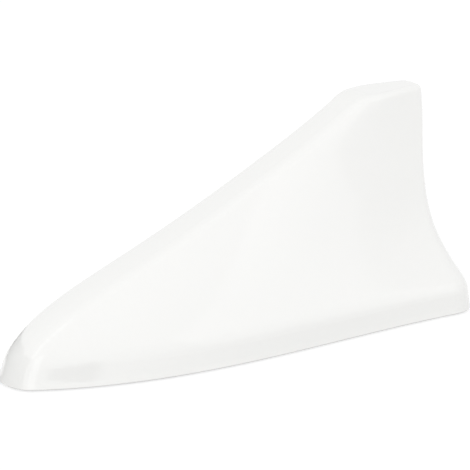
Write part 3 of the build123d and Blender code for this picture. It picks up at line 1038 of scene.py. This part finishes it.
@dataclass
class ScrewSet(SubAssembly):
    """Four domed screws with crossed recesses, in two pairs across the middle plane."""

    name: str
    node: str
    heads: Heads
    seat_z: float
    front_x: float
    front_y: float
    rear_x: float
    rear_y: float
    head_radius: float
    head_height: float
    shank_radius: float
    shank_length: float
    thread_pitch: float
    thread_depth: float
    count: int = 4
    dome: float = 0.55
    recess_length: float = 1.2
    recess_width: float = 0.26
    recess_depth: float = 0.6
    cross_depth: float = 0.92
    thread_share: float = 0.9
    thread_foot: float = 0.95
    first_turn: float = 0.7
    turn_step: float = 1.3
    head_sides: int = 36
    head_rows: int = 6
    head_rings: int = 2
    shank_sides: int = 24
    thread_points: int = 20
    thread_sides: int = 3

    def build(self) -> None:
        """Make the four screws and put them in their node's place."""
        maker = Maker(self.name)
        screw = maker.joined([self._head(maker), *self._shank(maker)])
        self.make(maker, self._spread(maker, screw), SCREW_STEEL, self.node)

    def _head(self, maker: Maker) -> Wire:
        """Domed head with a crossed recess, above its seat at the origin.

        Args:
            maker: Tree that the screw is built in.

        Returns:
            The head's geometry.
        """
        graph = maker.graph
        radius = maker.size("Head radius", self.head_radius * MM)
        height = maker.size("Head height", self.head_height * MM)
        disc = {
            "Vertices": self.head_sides,
            "Side Segments": self.head_rows,
            "Fill Segments": self.head_rings,
            "Radius": radius,
            "Depth": height,
        }
        blank = graph.node("GeometryNodeMeshCylinder", None, disc)
        head = maker.moved(self._domed(graph, blank, height), graph.join(0.0, 0.0, 0.5 * height))
        # The floors of the two slots differ in depth, so that no faces of theirs lie in one plane.
        cuts = ((0.0, self.recess_depth), (QUARTER_TURN, self.cross_depth * self.recess_depth))
        slots = [
            maker.moved(
                maker.box(self.recess_length * radius, self.recess_width * radius, 2.0 * depth * height),
                graph.join(0.0, 0.0, height),
                (0.0, 0.0, turn),
            )
            for turn, depth in cuts
        ]
        inputs = {"Mesh 1": head, "Mesh 2": slots}
        return graph.node("GeometryNodeMeshBoolean", {"operation": "DIFFERENCE"}, inputs)

    def _shank(self, maker: Maker) -> list[Wire]:
        """Core and thread, below the seat at the origin.

        Args:
            maker: Tree that the screw is built in.

        Returns:
            The geometry of the core and of the thread.
        """
        graph = maker.graph
        shank = maker.size("Shank radius", self.shank_radius * MM)
        length = maker.size("Shank length", self.shank_length * MM)
        pitch = maker.size("Thread pitch", self.thread_pitch * MM)
        depth = maker.size("Thread depth", self.thread_depth * MM)
        root = shank - depth
        rod = {"Vertices": self.shank_sides, "Radius": root, "Depth": length}
        core = graph.node("GeometryNodeMeshCylinder", None, rod)
        helix = {
            "Resolution": self.thread_points,
            "Rotations": self.thread_share * length / pitch,
            "Start Radius": root,
            "End Radius": root,
            "Height": self.thread_share * length,
        }
        thread = maker.swept(graph.node("GeometryNodeCurveSpiral", None, helix), depth, self.thread_sides)
        return [
            maker.moved(core, graph.join(0.0, 0.0, -0.5 * length)),
            maker.moved(thread, graph.join(0.0, 0.0, -self.thread_foot * length)),
        ]

    def _domed(self, graph: Graph, blank: Wire, height: Wire) -> Wire:
        """Draw a cylinder in towards its top, as an ellipse does.

        Args:
            graph: Graph of the tree.
            blank: Cylinder round the origin.
            height: Its height.

        Returns:
            The domed head.
        """
        x, y, z = graph.split(graph.node("GeometryNodeInputPosition"))
        climb = z / height + 0.5
        inward = (1.0 - self.dome * climb * climb).root()
        place = graph.join(x * inward, y * inward, z)
        return graph.node("GeometryNodeSetPosition", None, {"Geometry": blank, "Position": place})

    def _spread(self, maker: Maker, screw: Wire) -> Wire:
        """Repeat the screw at its four places.

        Args:
            maker: Tree that the screws are built in.
            screw: Geometry of one screw.

        Returns:
            The four instances.
        """
        front_x = maker.size("Front X", self.front_x * MM)
        front_y = maker.size("Front Y", self.front_y * MM)
        rear_x = maker.size("Rear X", self.rear_x * MM)
        rear_y = maker.size("Rear Y", self.rear_y * MM)
        seat = maker.size("Seat Z", self.seat_z * MM)
        index = maker.index()
        rear = (0.5 * index).rounded_down()
        side = 1.0 - 2.0 * (index % 2.0)
        x = front_x + rear * (rear_x - front_x)
        y = side * (front_y + rear * (rear_y - front_y))
        turn = maker.graph.join(self.heads.value, 0.0, self.first_turn + self.turn_step * index)
        return maker.copies(self.count, maker.graph.join(x, y, seat), screw, turn)


@dataclass
class CoilAssembly(SubAssembly):
    """Loading coil: a wire wound on the former, with both ends led down to the board.

    Each end takes two steps that have as many points as a turn: out from the former, then down.
    """

    middle_x: float = 43.0
    board_top: float = 8.0
    first_turn_z: float = 10.05
    wire_radius: float = 0.68
    turn_radius: float = 3.55
    pitch: float = 1.55
    turns: float = 5.375
    lead_reach: float = 5.4
    lead_steps: float = 2.0
    start_angle: float = -QUARTER_TURN
    points_per_turn: int = 36
    wire_sides: int = 12

    def build(self) -> None:
        """Dress the former and wind the coil."""
        self.dress({"coil_former": FORMER_WHITE})
        maker = Maker("wound_coil")
        wire_radius = maker.size("Wire radius", self.wire_radius * MM)
        coil = maker.swept(self._path(maker), wire_radius, self.wire_sides)
        self.make(maker, coil, COIL_COPPER, "loading_coil")

    def _path(self, maker: Maker) -> Wire:
        """Line of the wire: up from the board, round the former and down again.

        Args:
            maker: Tree that the coil is built in.

        Returns:
            The curve.
        """
        graph = maker.graph
        turns = maker.size("Turns", self.turns)
        pitch = maker.size("Pitch", self.pitch * MM)
        radius = maker.size("Turn radius", self.turn_radius * MM)
        reach = maker.size("Lead reach", self.lead_reach * MM)
        middle_x = maker.size("Middle X", self.middle_x * MM)
        first_z = maker.size("First turn Z", self.first_turn_z * MM)
        board = maker.size("Board top Z", self.board_top * MM)
        count = int((self.turns + 2.0 * self.lead_steps) * self.points_per_turn) + 1
        along = maker.index() / float(self.points_per_turn) - self.lead_steps
        wound = along.at_least(0.0).at_most(turns)
        before = (0.0 - along).at_least(0.0)
        after = (along - turns).at_least(0.0).at_most(self.lead_steps)
        spread = before.at_most(1.0) + after.at_most(1.0)
        drop = (before - 1.0).at_least(0.0) + (after - 1.0).at_least(0.0)
        angle = self.start_angle + 2.0 * math.pi * wound
        away = radius + spread * (reach - radius)
        z = first_z + wound * pitch
        place = graph.join(middle_x + away * angle.cosine(), away * angle.sine(), z - drop * (z - board))
        line = graph.node("GeometryNodeMeshLine", None, {"Count": count})
        line = graph.node("GeometryNodeSetPosition", None, {"Geometry": line, "Position": place})
        return graph.node("GeometryNodeMeshToCurve", None, {0: line})


@dataclass
class ChipRow(SubAssembly):
    """Small parts on the amplifier board: capacitors with tinned ends and wound inductors."""

    board_top: float = 8.0
    capacitors: int = 4
    capacitor_x: float = 59.1
    capacitor_y: float = -9.59
    capacitor_pitch_x: float = 3.0
    capacitor_pitch_y: float = 4.0
    capacitor_size: Point = (1.6, 0.8, 0.9)
    end_length: float = 0.3
    end_proud: float = 0.03
    inductors: int = 2
    inductor_x: float = 44.55
    inductor_y: float = 6.85
    inductor_pitch: float = 3.1
    inductor_size: Point = (2.5, 2.5, 2.0)
    cheek: float = 0.4
    core_share: float = 0.6
    winding_radius: float = 0.13
    winding_turns: int = 6
    winding_step: float = 2.05
    winding_sides: int = 8
    corner_points: int = 4

    def build(self) -> None:
        """Make the capacitors, their ends, the inductors and their windings."""
        self._capacitor_bodies()
        self._capacitor_ends()
        self._cores()
        self._windings()

    def _capacitor_bodies(self) -> None:
        """Make the bodies of the capacitors, a little smaller than their ends."""
        maker = Maker("capacitor_bodies")
        length, width, height = maker.sizes("Capacitor", self.capacitor_size)
        end = maker.size("End length", self.end_length * MM)
        proud = maker.size("End proud of body", self.end_proud * MM)
        body = maker.box(length - 2.0 * end, width - 2.0 * proud, height - proud)
        body = maker.moved(body, maker.graph.join(0.0, 0.0, 0.5 * (height - proud)))
        self.make(maker, self._in_pairs(maker, body), CAPACITOR_TAN, "chip_capacitors")

    def _capacitor_ends(self) -> None:
        """Make the tinned ends of the capacitors."""
        maker = Maker("capacitor_ends")
        size = maker.sizes("Capacitor", self.capacitor_size)
        end = maker.size("End length", self.end_length * MM)
        ends = maker.joined(maker.end_blocks(end, *size))
        self.make(maker, self._in_pairs(maker, ends), TIN_PLATE)

    def _in_pairs(self, maker: Maker, piece: Wire) -> Wire:
        """Repeat a part of a capacitor at every capacitor's place, two by two.

        Args:
            maker: Tree that the part is built in.
            piece: The part at the origin.

        Returns:
            The instances.
        """
        index = maker.index()
        across = index % 2.0
        along = (0.5 * index).rounded_down()
        place = maker.graph.join(
            self.capacitor_x * MM + along * (self.capacitor_pitch_x * MM),
            self.capacitor_y * MM + across * (self.capacitor_pitch_y * MM),
            self.board_top * MM,
        )
        return maker.copies(self.capacitors, place, piece)

    def _cores(self) -> None:
        """Make the ferrite cores of the inductors with their cheeks."""
        maker = Maker("inductor_cores")
        length, width, height = maker.sizes("Core", self.inductor_size)
        cheek = maker.size("Cheek", self.cheek * MM)
        waist = maker.box(length - cheek, self.core_share * width, self.core_share * height)
        waist = maker.moved(waist, maker.graph.join(0.0, 0.0, 0.5 * height))
        core = maker.joined([waist, *maker.end_blocks(cheek, length, width, height)])
        x = self.inductor_x * MM + maker.index() * (self.inductor_pitch * MM)
        place = maker.graph.join(x, self.inductor_y * MM, self.board_top * MM)
        self.make(maker, maker.copies(self.inductors, place, core), INDUCTOR_GREY, "chip_inductors")

    def _windings(self) -> None:
        """Make the turns of wire round the cores."""
        maker = Maker("inductor_windings")
        graph = maker.graph
        _, width, height = self.inductor_size
        radius = maker.size("Wire radius", self.winding_radius * MM)
        sides = {
            "Width": self.core_share * height * MM + 2.0 * radius,
            "Height": self.core_share * width * MM + 2.0 * radius,
        }
        loop = graph.node("GeometryNodeCurvePrimitiveQuadrilateral", None, sides)
        rounding = {"Curve": loop, "Count": self.corner_points, "Radius": 2.0 * radius}
        loop = graph.node("GeometryNodeFilletCurve", {"mode": "POLY"}, rounding)
        turn = maker.moved(maker.swept(loop, radius, self.winding_sides), turn=(0.0, QUARTER_TURN, 0.0))
        index = maker.index()
        core = (index / float(self.winding_turns)).rounded_down()
        step = index % float(self.winding_turns) - 0.5 * (self.winding_turns - 1)
        place = graph.join(
            self.inductor_x * MM + core * (self.inductor_pitch * MM) + step * (self.winding_step * radius),
            self.inductor_y * MM,
            (self.board_top + 0.5 * height) * MM,
        )
        self.make(maker, maker.copies(self.inductors * self.winding_turns, place, turn), COIL_COPPER)


@dataclass
class Amplifier(SubAssembly):
    """Amplifier board with its shield and sockets."""

    def build(self) -> None:
        """Dress the board's CAD nodes, which have the shapes already."""
        self.dress(
            {
                "amplifier_board": BOARD_GREEN,
                "shield_can": TIN_PLATE,
                "amplifier_chip": CHIP_BLACK,
                "coax_socket": SOCKET_CREAM,
                "coax_contact": CONTACT_BRASS,
                "power_socket": SOCKET_CREAM,
                "power_pins": CONTACT_BRASS,
            }
        )


@dataclass
class Element(SubAssembly):
    """Upright element board with its top plate."""

    def build(self) -> None:
        """Dress the element's CAD nodes, which have the shapes already."""
        self.dress({"element_board": ELEMENT_GREEN, "top_plate": TIN_PLATE})


@dataclass(frozen=True)
class PhotoCamera:
    """Camera at the photograph's place, solved from the outline of the aerial."""

    azimuth_deg: float = -36.65
    elevation_deg: float = 16.86
    distance: float = 1.1
    focal_px: float = 3487.0
    frame_px: float = 470.0
    sensor_mm: float = 36.0
    aim_right: float = 0.00301
    aim_up: float = 0.03148
    clip_near: float = 0.01
    clip_far: float = 50.0

    def build(self) -> bpy.types.Object:
        """Make the camera and hand it to the scene.

        Returns:
            The camera object.
        """
        turn, lift = math.radians(self.azimuth_deg), math.radians(self.elevation_deg)
        back = Vector((math.sin(turn) * math.cos(lift), -math.cos(turn) * math.cos(lift), math.sin(lift)))
        right = Vector((math.cos(turn), math.sin(turn), 0.0))
        data = bpy.data.cameras.new("photo_camera")
        data.sensor_width = self.sensor_mm
        data.lens = self.focal_px / self.frame_px * self.sensor_mm
        data.clip_start, data.clip_end = self.clip_near, self.clip_far
        camera = add_object("photo_camera", data)
        aim(camera, right * self.aim_right + back.cross(right) * self.aim_up + back * self.distance, -back)
        bpy.context.scene.camera = camera
        return camera


@dataclass(frozen=True)
class Softbox:
    """One soft lamp that looks at the aerial."""

    name: str
    place: Point
    width: float
    height: float
    power: float
    target: Point = (0.0, 0.0, 0.03)

    def build(self) -> bpy.types.Object:
        """Make the lamp.

        Returns:
            The lamp object.
        """
        data = bpy.data.lights.new(self.name, "AREA")
        data.shape = "RECTANGLE"
        data.size, data.size_y = self.width, self.height
        data.energy = self.power
        lamp = add_object(self.name, data)
        aim(lamp, Vector(self.place), Vector(self.target) - Vector(self.place))
        return lamp


@dataclass(frozen=True)
class Flag:
    """Dark curved card beside the set, which shows only as a reflection in gloss.

    It stands on the ground round the nose. Its angles count from the left side, as the camera's do.
    """

    name: str
    start_deg: float
    end_deg: float
    start_height: float
    end_height: float
    radius: float = 0.6
    centre_x: float = -0.07
    tone: float = 0.06
    strips: int = 24

    def build(self) -> bpy.types.Object:
        """Make the card.

        Returns:
            The card object.
        """
        points: list[Point] = []
        for index in range(self.strips + 1):
            share = index / self.strips
            turn = math.radians(self.start_deg + (self.end_deg - self.start_deg) * share)
            x, y = self.centre_x + self.radius * math.sin(turn), -self.radius * math.cos(turn)
            top = self.start_height + (self.end_height - self.start_height) * share
            points += [(x, y, 0.0), (x, y, top)]
        faces = [(low, low + 2, low + 3, low + 1) for low in range(0, 2 * self.strips, 2)]
        material, graph = new_material(self.name)
        graph.close(graph.diffuse(self.tone))
        card = add_stage(self.name, points, faces, material)
        card.visible_camera = card.visible_diffuse = card.visible_shadow = False
        return card


@dataclass(frozen=True)
class Studio:
    """White ground, white surround, soft lamps and dark cards.

    The ground shows white, and sends back less light near the aerial, where the real one lies in shade.
    """

    ground_half: float = 6.0
    ground_z: float = -0.0001
    ambient: float = 0.836
    tilt: Point = (-0.1, -0.13, 0.09)
    bounce_near: float = 0.75
    bounce_far: float = 0.92
    shade_start: float = 0.028
    shade_reach: float = 0.1
    shade_aspect: float = 0.34
    shadow_share: float = 0.35
    glow: float = 0.72
    lamps: tuple[Softbox, ...] = (
        Softbox("key_left", place=(-0.76, -0.6, 0.42), width=0.44, height=0.8, power=0.8),
        Softbox("fill_right", place=(0.55, -0.85, 0.4), width=0.6, height=0.6, power=0.4),
        Softbox("strip_nose", place=(-0.52, -0.02, 0.86), width=0.08, height=0.8, power=0.34),
    )
    flags: tuple[Flag, ...] = (
        Flag("flag_behind", start_deg=165.0, end_deg=212.0, start_height=0.05, end_height=0.5),
        Flag("flag_left", start_deg=212.0, end_deg=275.0, start_height=0.5, end_height=0.58),
        Flag("flag_front", start_deg=-25.0, end_deg=-7.0, start_height=0.16, end_height=0.16),
    )

    def build(self) -> None:
        """Make the world, the ground, the lamps and the cards, and set the plain view."""
        self._world()
        self._ground()
        for item in (*self.lamps, *self.flags):
            item.build()
            log.info("set up %s", item.name)
        bpy.context.scene.view_settings.view_transform = "Standard"

    @staticmethod
    def _by_ray(graph: Graph, soft: Wire, shown: Wire) -> Wire:
        """One shader for soft light, and another that is seen.

        Args:
            graph: Graph of the world or of the ground.
            soft: Shader for the rays of soft light.
            shown: Shader for rays from the camera, from gloss and through glass.

        Returns:
            The mixed shader.
        """
        kinds = ("Is Camera Ray", "Is Glossy Ray", "Is Transmission Ray")
        camera, gloss, glass = (graph.node("ShaderNodeLightPath", output=kind) for kind in kinds)
        return graph.between((camera + gloss + glass).at_most(1.0), soft, shown)

    def _world(self) -> None:
        """Surround that shows white and lights softly, more from its brighter side."""
        world = bpy.data.worlds.new("surround")
        world.use_nodes = True
        graph = Graph(world.node_tree)
        inputs = {0: graph.node("ShaderNodeTexCoord", output="Generated"), 1: self.tilt}
        toward = graph.node("ShaderNodeVectorMath", {"operation": "DOT_PRODUCT"}, inputs, "Value")
        soft, shown = (
            graph.node("ShaderNodeBackground", None, {"Color": grey(1.0), "Strength": strength})
            for strength in (self.ambient + toward, 1.0)
        )
        graph.node("ShaderNodeOutputWorld", None, {"Surface": self._by_ray(graph, soft, shown)})
        bpy.context.scene.world = world

    def _ground(self) -> None:
        """Ground that shows white and keeps a soft shadow."""
        material, graph = new_material("ground_white")
        x, y, _ = graph.split(graph.coordinates())
        x = x * self.shade_aspect
        away = (x * x + y * y).root() - self.shade_start
        share = (away / self.shade_reach).at_least(0.0).at_most(1.0)
        soft = graph.between(share, graph.diffuse(self.bounce_near), graph.diffuse(self.bounce_far))
        glow = graph.node("ShaderNodeEmission", None, {"Color": grey(1.0), "Strength": self.glow})
        shown = graph.node("ShaderNodeAddShader", None, {0: graph.diffuse(self.shadow_share), 1: glow})
        graph.close(self._by_ray(graph, soft, shown))
        half, z = self.ground_half, self.ground_z
        corners = [(-half, -half, z), (half, -half, z), (half, half, z), (-half, half, z)]
        add_stage("ground", corners, [(0, 1, 2, 3)], material)


def sub_assemblies(frame: Frame, paints: Paintbox) -> list[SubAssembly]:
    """Every sub-assembly of the aerial, with its screws where the CAD source has them.

    Args:
        paints: Materials that they share.

    Returns:
        The sub-assemblies in the order they are built.
    """
    cover_screws = ScrewSet(
        frame,
        paints,
        name="cover_screw_set",
        node="cover_screws",
        heads=Heads.DOWN,
        seat_z=3.0,
        front_x=-48.0,
        front_y=11.07,
        rear_x=62.0,
        rear_y=19.19,
        head_radius=2.5,
        head_height=1.6,
        shank_radius=1.3,
        shank_length=9.0,
        thread_pitch=0.9,
        thread_depth=0.28,
    )
    board_screws = ScrewSet(
        frame,
        paints,
        name="board_screw_set",
        node="board_screws",
        heads=Heads.UP,
        seat_z=8.0,
        front_x=40.6,
        front_y=11.39,
        rear_x=69.4,
        rear_y=11.39,
        head_radius=2.0,
        head_height=1.2,
        shank_radius=1.0,
        shank_length=5.0,
        thread_pitch=0.6,
        thread_depth=0.2,
    )
    return [
        Casing(frame, paints),
        FoamPads(frame, paints),
        cover_screws,
        Amplifier(frame, paints),
        board_screws,
        ChipRow(frame, paints),
        CoilAssembly(frame, paints),
        Element(frame, paints),
    ]


def main() -> None:
    """Build the dressed aerial and its studio."""
    logging.basicConfig(level=logging.INFO, format="%(name)s: %(message)s")
    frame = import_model()
    paints = Paintbox()
    for assembly in sub_assemblies(frame, paints):
        assembly.build()
        log.info("finished %s", type(assembly).__name__)
    PhotoCamera().build()
    Studio().build()


if __name__ == "__main__":
    main()
